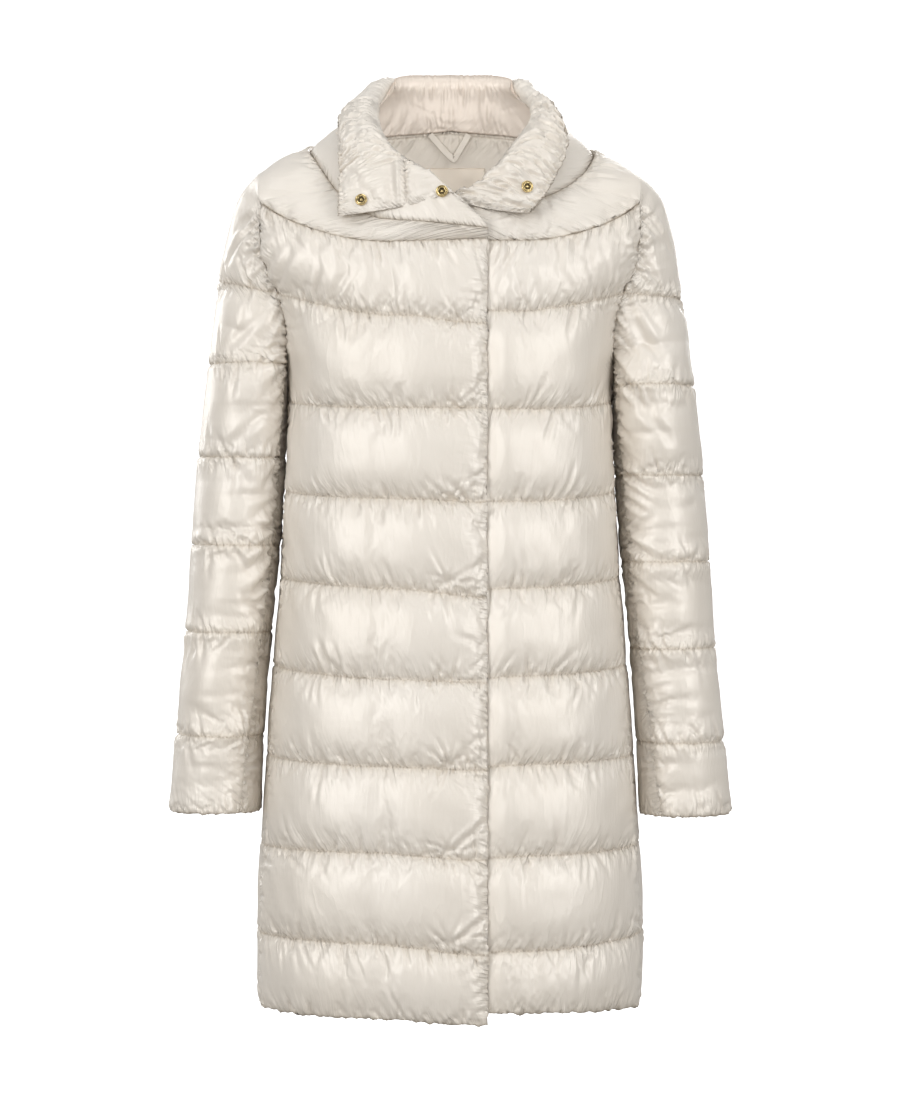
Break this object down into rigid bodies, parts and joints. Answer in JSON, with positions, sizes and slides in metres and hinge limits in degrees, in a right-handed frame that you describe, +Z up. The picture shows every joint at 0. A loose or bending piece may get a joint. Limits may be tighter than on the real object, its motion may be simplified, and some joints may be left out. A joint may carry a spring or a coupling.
{
  "type": "long puffer coat",
  "caption": "Knee-length quilted padded coat with a roll collar, lapped front and tapered sleeves, filled out with no wearer.",
  "frame": {"origin": "where the wearer's shoulders and neck hold the coat: middle of the neck, at the height of the shoulder seams", "axes": "+Z up along the coat's length, -Y towards the front, +X towards the wearer's left sleeve"},
  "size_m": [0.5768, 0.3234, 0.9777],
  "materials": {
    "shell": "glossy thin nylon, champagne",
    "lining": "satin lining, pinkish beige",
    "facing": "soft satin, greyish beige",
    "patch": "smooth matt, peach beige",
    "snap": "polished, gold-coloured"
  },
  "bodies": {
    "root": {"front_right": "shell", "front_left": "shell", "back": "shell", "sleeve_right": "shell", "sleeve_left": "shell", "undersleeve_right": "shell", "undersleeve_left": "shell", "collar": "shell", "collar_lining": "lining", "neck_facing": "facing", "label_patch": "patch", "hanger_loop": "facing", "snap_collar_right": "snap", "snap_collar_left": "snap", "snap_neck": "snap"}
  },
  "joints": []
}
